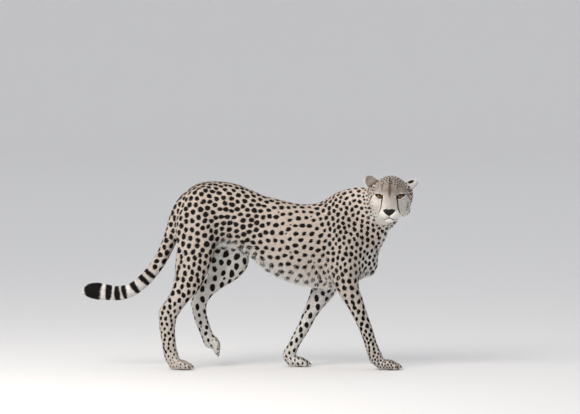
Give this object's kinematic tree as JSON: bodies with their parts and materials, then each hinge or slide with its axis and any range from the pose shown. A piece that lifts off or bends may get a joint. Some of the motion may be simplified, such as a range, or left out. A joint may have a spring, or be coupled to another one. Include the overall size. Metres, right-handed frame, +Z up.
{
  "type": "cheetah model",
  "caption": "Life-size standing model of an adult cheetah in mid-stride, head turned to its right, one hind foot raised; still, for display.",
  "frame": {"origin": "middle of the footprint of the bounding box, on the floor under the feet", "axes": "+X the way the animal walks, +Y to its left, +Z up"},
  "size_m": [1.4204, 0.3742, 0.8235],
  "materials": {
    "coat": "short dense fur, tan with near-black spots, white below",
    "eye": "wet amber",
    "claw": "dark horn"
  },
  "bodies": {
    "root": {"claw_fore_left_1": "claw", "claw_fore_left_2": "claw", "claw_fore_left_3": "claw", "claw_fore_left_4": "claw", "claw_fore_right_1": "claw", "claw_fore_right_2": "claw", "claw_fore_right_3": "claw", "claw_fore_right_4": "claw", "claw_hind_left_1": "claw", "claw_hind_left_2": "claw", "claw_hind_left_3": "claw", "claw_hind_left_4": "claw", "claw_hind_right_1": "claw", "claw_hind_right_2": "claw", "claw_hind_right_3": "claw", "claw_hind_right_4": "claw", "ear_left": "coat", "ear_right": "coat", "eye_left": "eye", "eye_right": "eye", "foreleg_left": "coat", "foreleg_right": "coat", "forepaw_left": "coat", "forepaw_right": "coat", "head": "coat", "hindpaw_left": "coat", "hindpaw_right": "coat", "metatarsus_left": "coat", "metatarsus_right": "coat", "neck": "coat", "shank_left": "coat", "shank_right": "coat", "tail_middle": "coat", "tail_tip": "coat", "tail_upper": "coat", "thigh_left": "coat", "thigh_right": "coat", "trunk": "coat"}
  },
  "joints": []
}
